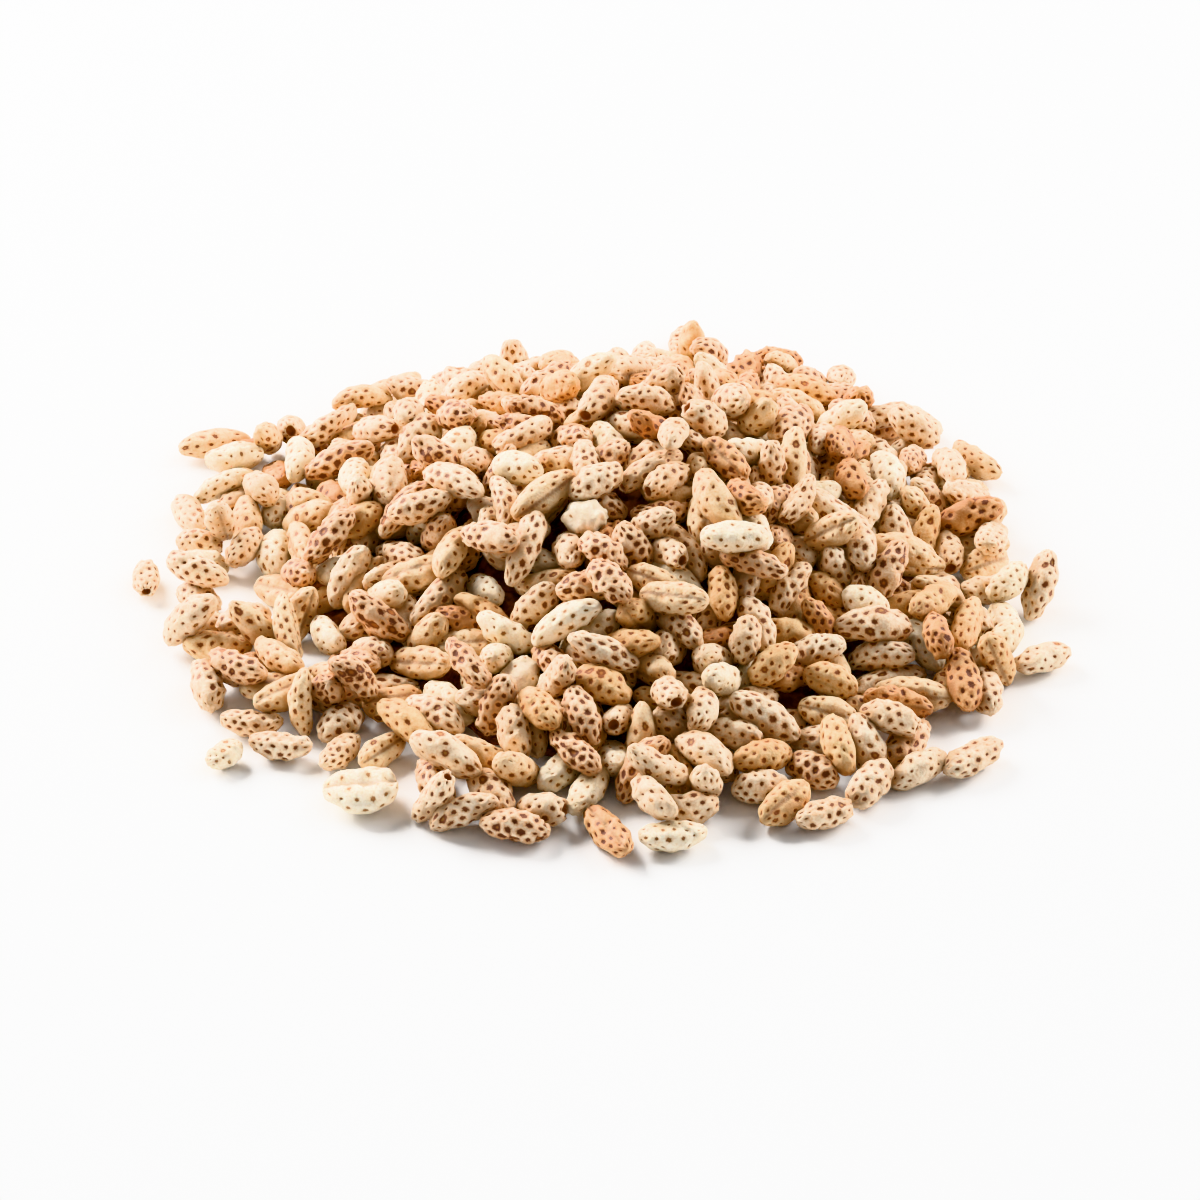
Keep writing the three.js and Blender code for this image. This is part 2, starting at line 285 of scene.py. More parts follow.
# Grains that stand out in the photo: kind, the pixels of both ends and, where it isn't CREASE_TURN, how
# many degrees the crease turns away from the camera. A holed grain's open end is its first. Later grains
# lie over earlier ones.
PHOTO_GRAINS = (
    # Foot and lower slope at the left
    ("golden", (216, 493), (258, 476)),
    ("toasted", (224, 464), (260, 442), 90),
    ("holed", (219, 546), (182, 543)),
    ("pale", (182, 563), (222, 566)),
    ("speckled", (184, 590), (214, 604)),
    ("speckled", (182, 625), (218, 622), 130),
    ("holed", (261, 530), (225, 557)),
    ("pale", (285, 492), (270, 525)),
    ("pale", (294, 450), (298, 480)),
    ("speckled", (221, 628), (266, 594)),
    ("creased", (258, 578), (308, 590), -15),
    ("pale", (276, 532), (290, 560)),
    ("creased", (297, 527), (328, 561), -20),
    ("creased", (286, 624), (324, 580), 20),
    ("holed", (338, 543), (348, 495), 140),
    ("golden", (342, 525), (368, 508), 0),
    ("spotted", (402, 474), (418, 442)),
    ("speckled", (378, 521), (428, 545), 140),
    ("spotted", (370, 523), (432, 469)),
    ("creased", (348, 603), (387, 547), 10),
    ("speckled", (397, 615), (478, 570)),
    ("creased", (393, 587), (458, 553), -20),
    # Front of the left slope
    ("speckled", (324, 735), (357, 711)),
    ("pale", (321, 604), (370, 624)),
    ("spotted", (320, 652), (388, 664)),
    ("creased", (379, 646), (448, 653), -10),
    ("golden", (363, 716), (426, 746), 130),
    ("speckled", (336, 696), (420, 684)),
    ("creased", (362, 764), (401, 739), 0),
    ("creased", (437, 632), (484, 610), -20),
    ("speckled", (433, 737), (465, 763)),
    ("speckled", (408, 701), (459, 729)),
    ("pale", (425, 679), (477, 712), 140),
    ("creased", (466, 649), (510, 676), 0),
    ("holed", (474, 772), (508, 815)),
    # Crest
    ("creased", (585, 392), (628, 372), 30),
    ("creased", (503, 420), (552, 398), -10),
    ("golden", (486, 446), (524, 438)),
    ("spotted", (552, 412), (590, 432)),
    ("spotted", (590, 440), (628, 432)),
    ("speckled", (622, 415), (672, 402)),
    ("holed", (675, 402), (727, 420)),
    ("pale", (718, 432), (762, 428)),
    ("toasted", (690, 435), (733, 472), 20),
    ("golden", (543, 446), (583, 452)),
    ("pale", (498, 458), (547, 465)),
    ("speckled", (434, 461), (500, 487)),
    # Middle
    ("speckled", (488, 468), (494, 518), 130),
    ("pale", (468, 550), (516, 565), 140),
    ("holed", (615, 480), (682, 454), 140),
    ("speckled", (566, 472), (620, 450), 130),
    ("creased", (509, 505), (565, 461), -20),
    ("spotted", (601, 523), (650, 537)),
    ("speckled", (631, 515), (690, 509)),
    ("spotted", (585, 541), (615, 560)),
    ("spotted", (588, 566), (622, 580)),
    ("creased", (616, 555), (662, 566), -30),
    ("speckled", (548, 509), (523, 580), 120),
    ("pale", (480, 587), (539, 608)),
    ("pale", (550, 578), (620, 608)),
    ("pale", (501, 617), (508, 662), 120),
    ("spotted", (542, 612), (554, 655), 130),
    ("creased", (650, 585), (718, 617), 0),
    ("speckled", (568, 643), (638, 672), 160),
    ("speckled", (567, 615), (633, 648)),
    ("popped", (560, 500), (602, 500), 0),
    # Front
    ("golden", (541, 674), (549, 724)),
    ("golden", (575, 668), (626, 702)),
    ("holed", (508, 698), (529, 742)),
    ("spotted", (573, 681), (599, 737)),
    ("spotted", (543, 730), (595, 762)),
    ("creased", (646, 642), (682, 675), 20),
    ("holed", (671, 714), (658, 676)),
    ("creased", (630, 719), (666, 765), 20),
    ("holed", (558, 813), (506, 802)),
    ("creased", (498, 789), (533, 749), 0),
    ("pale", (540, 790), (578, 757), -40),
    ("pale", (570, 816), (605, 763), -30),
    ("toasted", (585, 797), (627, 842), 0),
    ("holed", (722, 806), (657, 812)),
    ("spotted", (702, 748), (732, 776)),
    # Right slope
    ("creased", (880, 550), (946, 578), 40),
    ("spotted", (850, 560), (908, 590)),
    ("creased", (962, 575), (1004, 560), 0),
    ("pale", (980, 588), (1010, 570)),
    ("pale", (995, 605), (1016, 643), 30),
    ("holed", (990, 640), (955, 616)),
    ("pale", (938, 640), (966, 652)),
    ("golden", (938, 698), (962, 662)),
    ("speckled", (992, 714), (978, 672)),
    ("golden", (768, 612), (818, 634)),
    ("speckled", (739, 578), (768, 628)),
    ("golden", (792, 574), (789, 608)),
    ("toasted", (801, 588), (833, 615), 60),
    ("golden", (813, 563), (841, 606)),
    ("pale", (846, 585), (892, 596)),
    ("speckled", (842, 609), (915, 638)),
    ("speckled", (853, 636), (918, 662)),
    ("holed", (723, 647), (725, 601)),
    ("toasted", (778, 668), (804, 660), 90),
    ("golden", (742, 664), (787, 634)),
    ("speckled", (796, 642), (851, 655)),
    ("golden", (813, 664), (846, 683), 40),
    ("speckled", (850, 694), (926, 674)),
    ("pale", (695, 684), (745, 655)),
    ("holed", (699, 690), (683, 713)),
    ("creased", (803, 690), (855, 706), 0),
    ("speckled", (726, 682), (799, 714)),
    ("holed", (872, 722), (842, 710)),
    ("speckled", (738, 740), (812, 714)),
    ("golden", (735, 764), (791, 747)),
    ("spotted", (790, 762), (836, 782)),
    ("speckled", (790, 738), (868, 745)),
    ("speckled", (735, 790), (786, 784)),
    ("spotted", (890, 762), (925, 720)),
    ("speckled", (850, 788), (885, 755)),
)

rng = np.random.default_rng(SEED)


def linear(colour):
    """Turns a colour on the 0 to 255 scale into the linear values that a shader takes."""
    values = [c / 255 for c in colour]
    return tuple(v / 12.92 if v <= 0.04045 else ((v + 0.055) / 1.055) ** 2.4 for v in values) + (1,)


def smooth_step(low, high, value):
    """0 below low, 1 above high and a smooth change between them."""
    t = np.clip((value - low) / (high - low), 0, 1)
    return t * t * (3 - 2 * t)


# -------------------- the heap's shape, from the CAD part

heap_node = frame["nodes"]["barley_heap"]
heap_faces = [tuple(face.vertices) for face in heap_node.data.polygons]
heap_points = [vertex.co.copy() for vertex in heap_node.data.vertices]
core_points = [
    SUMMIT + Vector([(p - SUMMIT)[axis] * CORE_SHRINK[axis] for axis in range(3)]) for p in heap_points
]
heap_tree = BVHTree.FromPolygons(heap_points, heap_faces)
core_tree = BVHTree.FromPolygons(core_points, heap_faces)


def height_at(tree, x, y):
    """Height of a shape's top over a point of the floor, or 0 where the shape has none."""
    hit = tree.ray_cast(Vector((x, y, 1)), Vector((0, 0, -1)))[0]
    return hit.z if hit else 0.0


def edge_distance(angle):
    """How far out the heap's outline is at an angle."""
    reach = EDGE_START
    while height_at(heap_tree, reach * math.cos(angle), reach * math.sin(angle)) > 0:
        reach += EDGE_STEP
    return reach


# -------------------- which grains, and where they start


@dataclass
class Grain:
    """One grain: its kind, its size and its place. A fixed grain lies flat on the floor."""

    kind: str
    size: tuple
    place: Matrix
    fixed: bool = False
    node: str = ""


def random_kind():
    """A kind's name, drawn by the kinds' shares."""
    names = list(KINDS)
    shares = np.array([KINDS[name].share for name in names])
    return names[rng.choice(len(names), p=shares / shares.sum())]


def random_size(kind):
    """Length, width and thickness of a grain of one kind."""
    stretch = KINDS[kind].stretch
    length = GRAIN_LENGTH * stretch[0] * (1 + LENGTH_SPREAD * np.clip(rng.normal(), -2, 2))
    width = GRAIN_WIDTH * (1 + WIDTH_SPREAD * np.clip(rng.normal(), -2, 2))
    thickness = width * GRAIN_THICKNESS / GRAIN_WIDTH * rng.uniform(*FLATNESS_RANGE)
    return length, width * stretch[1], thickness * stretch[2]


def placed(middle, direction, roll, up=(0, 0, 1)):
    """The place of a grain by its long axis and by how far its crease turns from the up side."""
    x_axis = Vector(direction).normalized()
    y_axis = Vector(up).cross(x_axis).normalized()
    turned = Matrix((x_axis, y_axis, x_axis.cross(y_axis))).transposed().to_4x4()
    return Matrix.Translation(middle) @ turned @ Matrix.Rotation(roll, 4, "X")


def heading(turn, pitch=0.0):
    """The direction of a grain that is turned in the floor's plane and then tipped up by the pitch."""
    return Vector((math.cos(turn) * math.cos(pitch), math.sin(turn) * math.cos(pitch), math.sin(pitch)))


def lying_height(size, roll):
    """Height of a lying grain's middle over the floor."""
    return math.hypot(size[1] / 2 * math.sin(roll), size[2] / 2 * math.cos(roll))


def axis_points(grain):
    """Five points on a grain's long axis, for telling how close two grains are."""
    half = (grain.place.to_3x3() @ Vector((1, 0, 0))) * AXIS_HALF * grain.size[0]
    return np.array([grain.place.translation + k * half for k in (-1, -0.5, 0, 0.5, 1)])


def footprint(grain):
    """The points of the floor under a grain's axis."""
    return axis_points(grain)[:, :2]


def is_clear(points, taken, gap):
    """Whether a footprint keeps a gap from the footprints taken so far."""
    if not taken:
        return True
    others = np.concatenate(taken)
    return np.min(np.linalg.norm(points[:, None] - others[None], axis=2)) > gap


def measured(name):
    """A CAD grain as the node's own mesh gives it: its middle on the floor, its turn and its size."""
    points = np.array([vertex.co for vertex in frame["nodes"][name].data.vertices])
    flat = points[:, :2] - points[:, :2].mean(0)
    axis = np.linalg.eigh(flat.T @ flat)[1][:, 1]
    across = np.array([-axis[1], axis[0]])
    along_range = flat @ axis
    across_range = flat @ across
    middle = points[:, :2].mean(0) + axis * (along_range.max() + along_range.min()) / 2
    middle = middle + across * (across_range.max() + across_range.min()) / 2
    size = (np.ptp(along_range), np.ptp(across_range), np.ptp(points[:, 2]))
    return middle, math.atan2(axis[1], axis[0]), size


def apart_grains(taken):
    """The grains that lie apart, in the CAD part's places."""
    grains = []
    for name, kind in APART_KINDS.items():
        (x, y), turn, size = measured(name)
        grain = Grain(kind, size, placed((x, y, size[2] / 2), heading(turn), 0), True, name)
        taken.append(footprint(grain))
        grains.append(grain)
    return grains


def rim_grains(taken, photo):
    """Grains that lie on the floor round the outline and hold the others in: the photo's own first."""
    grains = []
    for grain in photo:
        points = footprint(grain)
        grain.fixed = grain.fixed and is_clear(points, taken, FOOT_GAP)
        if grain.fixed:
            taken.append(points)
            grains.append(grain)
    angle = 0.0
    while angle < 2 * math.pi:
        reach = edge_distance(angle) - RIM_SETBACK - rng.uniform(0, RIM_WANDER) * MM
        for _ in range(RIM_TRIES):
            kind = random_kind()
            size = random_size(kind)
            roll = rng.uniform(0, 2 * math.pi)
            direction = heading(rng.uniform(0, math.pi))
            middle = (reach * math.cos(angle), reach * math.sin(angle), lying_height(size, roll))
            grain = Grain(kind, size, placed(middle, direction, roll), True)
            if is_clear(footprint(grain), taken, RIM_GAP):
                taken.append(footprint(grain))
                grains.append(grain)
                break
        angle += RIM_STEP / reach
    return grains


def photo_ray(x, y):
    """The direction in which the camera sees one of the photo's pixels."""
    focal = CAMERA_LENS / CAMERA_SENSOR * PHOTO_PIXELS
    across = x - PHOTO_PIXELS / 2
    down = y - PHOTO_PIXELS / 2
    return (CAMERA_AHEAD * focal + CAMERA_RIGHT * across - CAMERA_UP * down).normalized()


def on_plane(ray, point, normal):
    """Where a ray from the camera meets a plane."""
    return CAMERA_PLACE + ray * ((point - CAMERA_PLACE).dot(normal) / ray.dot(normal))


def heap_normal(x, y):
    """Which way the heap's surface faces, without the relief of its single grains."""
    rise_x = height_at(heap_tree, x + SLOPE_REACH, y) - height_at(heap_tree, x - SLOPE_REACH, y)
    rise_y = height_at(heap_tree, x, y + SLOPE_REACH) - height_at(heap_tree, x, y - SLOPE_REACH)
    return Vector((-rise_x, -rise_y, 2 * SLOPE_REACH)).normalized()


def photo_grain(kind, first_end, other_end, roll=CREASE_TURN):
    """A grain whose two ends the photo shows: it lies along the heap, or on the floor at its foot."""
    middle_ray = photo_ray((first_end[0] + other_end[0]) / 2, (first_end[1] + other_end[1]) / 2)
    hit = heap_tree.ray_cast(CAMERA_PLACE, middle_ray)[0]
    on_heap = hit is not None and hit.z > FOOT_HEIGHT
    if on_heap:
        normal = heap_normal(hit.x, hit.y)
        point = hit - normal * GRAIN_THICKNESS * PHOTO_DEPTH
    else:
        normal = UP
        point = UP * GRAIN_THICKNESS / 2
    ends = [on_plane(photo_ray(*end), point, normal) for end in (first_end, other_end)]
    _, width, thickness = random_size(kind)
    span = (ends[1] - ends[0]).length
    shortest = PHOTO_LENGTHS[0] * GRAIN_LENGTH * KINDS[kind].stretch[0]
    length = min(max(span, shortest), PHOTO_LENGTHS[1] * GRAIN_LENGTH)
    place = placed((ends[0] + ends[1]) / 2, ends[1] - ends[0], math.radians(roll), -CAMERA_AHEAD)
    return Grain(kind, (length, width, thickness), place, not on_heap)


def leaning_grain(middle, lean):
    """A grain of any kind that lies along the heap's surface, or leans up or down from it."""
    kind = random_kind()
    normal = heap_normal(middle.x, middle.y)
    level = heading(rng.uniform(0, math.pi))
    along = (level - normal * level.dot(normal)).normalized()
    direction = along * math.cos(lean) + normal * math.sin(lean)
    return Grain(kind, random_size(kind), placed(middle, direction, rng.uniform(0, 2 * math.pi)))


class Pile:
    """What new grains are stacked on: the core, the lying grains, and the grains stacked so far."""

    def __init__(self, lying):
        self.points = np.concatenate([axis_points(grain) for grain in lying])
        self.grains = []

    def rest_height(self, grain):
        """How high a grain's middle has to be to lie on what is under it."""
        axis = axis_points(grain)
        rises = axis[:, 2] - grain.place.translation.z
        floors = [height_at(core_tree, x, y) for x, y, _ in axis]
        height = max(floor + grain.size[2] / 2 - rise for floor, rise in zip(floors, rises))
        gaps = np.linalg.norm(axis[:, None, :2] - self.points[None, :, :2], axis=2)
        over = self.points[:, 2] + np.sqrt(np.maximum(STACK_GAP ** 2 - gaps ** 2, 0)) - rises[:, None]
        return max([height, *over[gaps < STACK_GAP]])

    def add(self, grain):
        """Adds a grain where it is."""
        self.points = np.concatenate([self.points, axis_points(grain)])
        self.grains.append(grain)

    def add_photo_grain(self, grain):
        """Adds a grain where the camera sees it in the photo, a little higher if it lies over another."""
        surface = grain.place.translation.z
        height = np.clip(self.rest_height(grain), surface, surface + PHOTO_LIFT)
        ray = (grain.place.translation - CAMERA_PLACE).normalized()
        grain.place.translation = on_plane(ray, UP * height, UP)
        self.add(grain)

    def add_random_grains(self, rise, taken):
        """Adds grains up to a rise over the heap's surface, clear of the footprints taken."""
        for _ in range(STACK_TRIES):
            x, y = rng.uniform(-HEAP_REACH, HEAP_REACH, 2)
            roof = height_at(heap_tree, x, y)
            if roof == 0:
                continue
            grain = leaning_grain(Vector((x, y, 0)), 0)
            height = self.rest_height(grain)
            if height + grain.size[2] / 2 < roof + rise and is_clear(footprint(grain), taken, PHOTO_GAP):
                grain.place.translation.z = height
                self.add(grain)


def with_room(grains, newcomers):
    """Leaves out the grains that a newcomer would cut through."""
    taken = np.concatenate([axis_points(grain) for grain in newcomers])
    return [
        grain for grain in grains
        if np.linalg.norm(axis_points(grain)[:, None] - taken[None], axis=2).min() > ROOM_GAP
    ]


# -------------------- settling


def simple_grain(size):
    """A few points just under a grain's skin, enough for its contacts."""
    width = size[1] * CONTACT_SIZE
    thickness = size[2] * CONTACT_SIZE
    points = [(-size[0] / 2, 0, 0), (size[0] / 2, 0, 0)]
    for ring in range(1, SIMPLE_RINGS + 1):
        along = -math.cos(math.pi * ring / (SIMPLE_RINGS + 1))
        girth = (1 - along * along) ** SIMPLE_BLUNTNESS
        for side in range(SIMPLE_SIDES):
            angle = 2 * math.pi * side / SIMPLE_SIDES
            points.append((
                along * size[0] / 2,
                girth * width / 2 * math.cos(angle),
                girth * thickness / 2 * math.sin(angle),
            ))
    return points


def solid_body(name, points, faces, shape, moves, collection):
    """An object of the settling, at the settling's own larger scale."""
    mesh = bpy.data.meshes.new(name)
    mesh.from_pydata([tuple(Vector(p) * SIM_SCALE) for p in points], [], faces)
    body = bpy.data.objects.new(name, mesh)
    bpy.context.scene.collection.objects.link(body)
    collection.objects.link(body)
    rigid = body.rigid_body
    rigid.type = "ACTIVE" if moves else "PASSIVE"
    rigid.collision_shape = shape
    rigid.friction = FRICTION
    rigid.restitution = 0
    rigid.linear_damping = MOVE_DAMPING
    rigid.angular_damping = TURN_DAMPING
    rigid.use_margin = True
    rigid.collision_margin = SIM_MARGIN
    return body


def settle(moving, resting, frames):
    """Lets some grains fall on the core, the floor and the resting grains, and gives them new places."""
    scene = bpy.context.scene
    bpy.ops.rigidbody.world_add()
    world = scene.rigidbody_world
    collection = bpy.data.collections.new("settling")
    scene.collection.children.link(collection)
    world.collection = collection
    world.use_split_impulse = True
    world.substeps_per_frame = SIM_SUBSTEPS
    world.solver_iterations = SIM_ITERATIONS
    world.point_cache.frame_end = frames + 1
    sides = (-SIM_FLOOR_REACH, SIM_FLOOR_REACH)
    corners = [(x, y, z) for x in sides for y in sides for z in (0, -SIM_FLOOR_DEPTH)]
    solid_body("settling_floor", corners, [], "CONVEX_HULL", False, collection)
    solid_body("settling_core", core_points, heap_faces, "MESH", False, collection)
    bodies = []
    for number, grain in enumerate(moving + resting):
        moves = number < len(moving)
        points = simple_grain(grain.size)
        body = solid_body("settling_grain", points, [], "CONVEX_HULL", moves, collection)
        place = grain.place.copy()
        place.translation *= SIM_SCALE
        body.matrix_world = place
        bodies.append(body)
    for step in range(1, frames + 1):
        scene.frame_set(step)
    graph = bpy.context.evaluated_depsgraph_get()
    for grain, body in zip(moving, bodies):
        place = body.evaluated_get(graph).matrix_world.copy()
        place.translation /= SIM_SCALE
        grain.place = place
    bpy.ops.rigidbody.world_remove()
    for body in list(collection.objects):
        mesh = body.data
        bpy.data.objects.remove(body)
        bpy.data.meshes.remove(mesh)
    bpy.data.collections.remove(collection)
    scene.frame_set(1)


def stays_on_heap(grain):
    """Whether a grain has settled on the heap, not beyond its outline, too low or high over the rest."""
    middle = grain.place.translation
    roof = height_at(heap_tree, middle.x, middle.y)
    inside = height_at(heap_tree, middle.x * OUTLINE_MARGIN, middle.y * OUTLINE_MARGIN) > 0
    return inside and LOWEST_MIDDLE < middle.z < max(roof, FOOT_HEIGHT) + HIGHEST_RISE


def shell_tree(grains):
    """A search tree of simple grains, their points, and which grain each point belongs to."""
    points = []
    faces = []
    owners = []
    sides = range(SIMPLE_SIDES)
    pairs = [(side, (side + 1) % SIMPLE_SIDES) for side in sides]
    rings = [[2 + SIMPLE_SIDES * ring + side for side in sides] for ring in range(SIMPLE_RINGS)]
    local = [(0, rings[0][after], rings[0][side]) for side, after in pairs]
    local += [(1, rings[-1][side], rings[-1][after]) for side, after in pairs]
    for low, high in zip(rings, rings[1:]):
        local += [(low[side], low[after], high[after], high[side]) for side, after in pairs]
    for number, grain in enumerate(grains):
        offset = len(points)
        points += [grain.place @ Vector(p) for p in simple_grain(grain.size)]
        faces += [tuple(offset + corner for corner in face) for face in local]
        owners += [number] * (len(points) - offset)
    return BVHTree.FromPolygons(points, faces), points, owners


def seen_grains(grains):
    """Leaves out the grains that nothing outside the heap can see."""
    tree, points, owners = shell_tree(grains)
    looks = [
        heading(turn, pitch)
        for pitch, count in LOOK_RINGS
        for turn in np.linspace(0, 2 * math.pi, count, endpoint=False)
    ]
    seen = set()
    for point, owner in zip(points, owners):
        if owner in seen:
            continue
        outward = (point - grains[owner].place.translation).normalized()
        start = point + outward * LOOK_START
        if any(look.dot(outward) > LOOK_FACING and tree.ray_cast(start, look)[0] is None for look in looks):
            seen.add(owner)
    return [grain for number, grain in enumerate(grains) if number in seen]


def hollow_grains(lying):
    """Grains in the hollows that the lying ones leave, each as high and turned as it fits best."""
    tree = shell_tree(lying)[0]
    points = np.concatenate([axis_points(grain) for grain in lying])
    steps = np.arange(-HEAP_REACH, HEAP_REACH, HOLLOW_STEP)
    grains = []
    for x, y in rng.permutation([(x, y) for x in steps for y in steps]):
        roof = height_at(heap_tree, x, y)
        if roof < HOLLOW_ROOF or roof - height_at(tree, x, y) < HOLLOW_DEPTH:
            continue
        for depth in HOLLOW_MIDDLES:
            middle = Vector((x, y, max(roof - depth, GRAIN_THICKNESS / 2)))
            near = points[np.linalg.norm(points - np.array(middle), axis=1) < HOLLOW_NEAR]
            choices = []
            for _ in range(HOLLOW_CHOICES):
                grain = leaning_grain(middle, rng.uniform(-HOLLOW_LEAN, HOLLOW_LEAN))
                axis = axis_points(grain)
                room = np.linalg.norm(axis[:, None] - near, axis=2).min()
                if room > HOLLOW_GAP and axis[:, 2].min() > HOLLOW_FLOOR:
                    choices.append((room, grain))
            if choices:
                grain = max(choices, key=lambda choice: choice[0])[1]
                grains.append(grain)
                points = np.concatenate([points, axis_points(grain)])
                break
    return grains


# -------------------- one grain's skin


LATTICE_COLUMNS, LATTICE_ROWS = np.meshgrid(np.arange(COLUMNS), np.arange(ROWS))
LATTICE_ACROSS = LATTICE_COLUMNS + 0.5 * (LATTICE_ROWS % 2)


def lattice_distances():
    """For each lattice point, how many steps it is from the nearest pit's middle, and which pit that is.

    Pits sit on every sixth place of a triangular lattice, in rows along the grain.
    """
    middles = []
    for row in range(0, ROWS, 2):
        for column in range(COLUMNS):
            slanted = column - row // 2
            if slanted % 2 == 0 and (slanted - row) // 2 % 3 == 0:
                middles.append((column + 0.5 * (row % 2), row * math.sqrt(3) / 2))
    middles = np.array(middles)
    along = LATTICE_ROWS * math.sqrt(3) / 2
    gap = np.abs(LATTICE_ACROSS[..., None] - middles[:, 0])
    gap = np.minimum(gap, COLUMNS - gap)
    distance = np.hypot(gap, along[..., None] - middles[:, 1])
    return distance.min(-1), distance.argmin(-1), len(middles)


def lattice_triangles():
    """The skin's triangles, whose last two points are the tips, and each corner's place on the flat map."""
    triangles = []
    spots = []
    for row in range(ROWS - 1):
        odd = row % 2
        shift = 0.5 * odd
        next_shift = 0.5 - shift
        for column in range(COLUMNS):
            near = (row, column, column + shift)
            near_next = (row, column + 1, column + 1 + shift)
            far = (row + 1, column, column + next_shift)
            far_next = (row + 1, column + 1, column + 1 + next_shift)
            if odd:
                faces = [(near, far_next, far), (near, near_next, far_next)]
            else:
                faces = [(near, near_next, far), (near_next, far_next, far)]
            for face in faces:
                triangles.append([r * COLUMNS + c % COLUMNS for r, c, _ in face])
                spots.append([((r + 1) / (ROWS + 1), across / (COLUMNS + 1)) for r, _, across in face])
    first_tip = ROWS * COLUMNS
    last_tip = first_tip + 1
    last_row = (ROWS - 1) * COLUMNS
    last_shift = 0.5 * ((ROWS - 1) % 2)
    for column in range(COLUMNS):
        following = (column + 1) % COLUMNS
        tip_across = (column + 0.5) / (COLUMNS + 1)
        near_tip = [(1 / (ROWS + 1), across / (COLUMNS + 1)) for across in (column + 1, column)]
        triangles.append([first_tip, following, column])
        spots.append([(0, tip_across), *near_tip])
        shifted = (column + last_shift, column + 1 + last_shift)
        near_tip = [(ROWS / (ROWS + 1), across / (COLUMNS + 1)) for across in shifted]
        triangles.append([last_tip, last_row + column, last_row + following])
        spots.append([(1, tip_across), *near_tip])
    return np.array(triangles), np.array(spots)


PIT_DISTANCE, PIT_NUMBER, PIT_COUNT = lattice_distances()
SKIN_TRIANGLES, SKIN_SPOTS = lattice_triangles()


def waves(along, around, count, along_range, around_range):
    """A smooth random field on the skin, about as often over 0 as under it, that meets itself all round."""
    field = np.zeros_like(around)
    for _ in range(count):
        turns = rng.integers(around_range[0], around_range[1] + 1)
        speed = rng.uniform(*along_range) * rng.choice((-1, 1))
        field += np.sin(speed * along + turns * around + rng.uniform(0, 2 * math.pi))
    return field / math.sqrt(count / 2)


def side_outline(size, open_end):
    """A grain's outline from tip to tip: places along it, girth from 0 to 1, and hollow or not."""
    blunt = rng.uniform(*BLUNTNESS, 2)
    fuller = rng.uniform(-FULLER_HALF, FULLER_HALF)
    along = -np.cos(np.linspace(0, math.pi, OUTLINE_POINTS))
    power = np.where(along < 0, blunt[0], blunt[1])
    girth = (1 - along ** 2) ** power * (1 + fuller * along)
    if not open_end:
        return along * size[0] / 2, girth, np.zeros_like(along)
    rim = rng.uniform(*OPEN_RIM)
    kept = (girth > rim) | (along > 0)
    along = along[kept]
    unit = 2 / size[0]
    hole_along = along[0] + np.array(OPEN_DEPTHS) * MM * unit
    return (
        np.concatenate([hole_along, along]) * size[0] / 2,
        np.concatenate([rim * np.array(OPEN_GIRTHS), girth[kept]]),
        np.concatenate([OPEN_HOLLOW, np.zeros_like(along)]),
    )


def neighbours_of(grain, others):
    """Points on the axes of the grains near one grain, for the painted shade where grains touch, and a
    point far below, so there is always one.
    """
    middle = grain.place.translation
    near = [
        axis_points(other) for other in others
        if other is not grain and (other.place.translation - middle).length < NEIGHBOUR_RANGE
    ]
    return np.concatenate([*near, [[0, 0, -1]]])


def outward_normals(points):
    """Which way the skin faces at each point of the lattice."""
    slope_along = np.gradient(points, axis=0)
    slope_around = np.roll(points, -1, axis=1) - np.roll(points, 1, axis=1)
    normals = np.cross(slope_around, slope_along)
    normals /= np.linalg.norm(normals, axis=-1, keepdims=True) + 1e-12
    return normals * np.sign(np.sum(normals[ROWS // 2] * points[ROWS // 2]))


def pit_marks(kind):
    """For each point of the lattice, how deep in a pit it is, from 0 to 1, and whether the pit is big."""
    has_pit = rng.uniform(size=PIT_COUNT) < kind.pits
    is_big = rng.uniform(size=PIT_COUNT) < kind.big_pits
    sizes = kind.pit_size * rng.uniform(*PIT_SIZES, PIT_COUNT) * np.where(is_big, BIG_PIT, 1)
    pit = (1 - smooth_step(*PIT_RANGE, PIT_DISTANCE / sizes[PIT_NUMBER])) * has_pit[PIT_NUMBER]
    return pit, is_big[PIT_NUMBER]


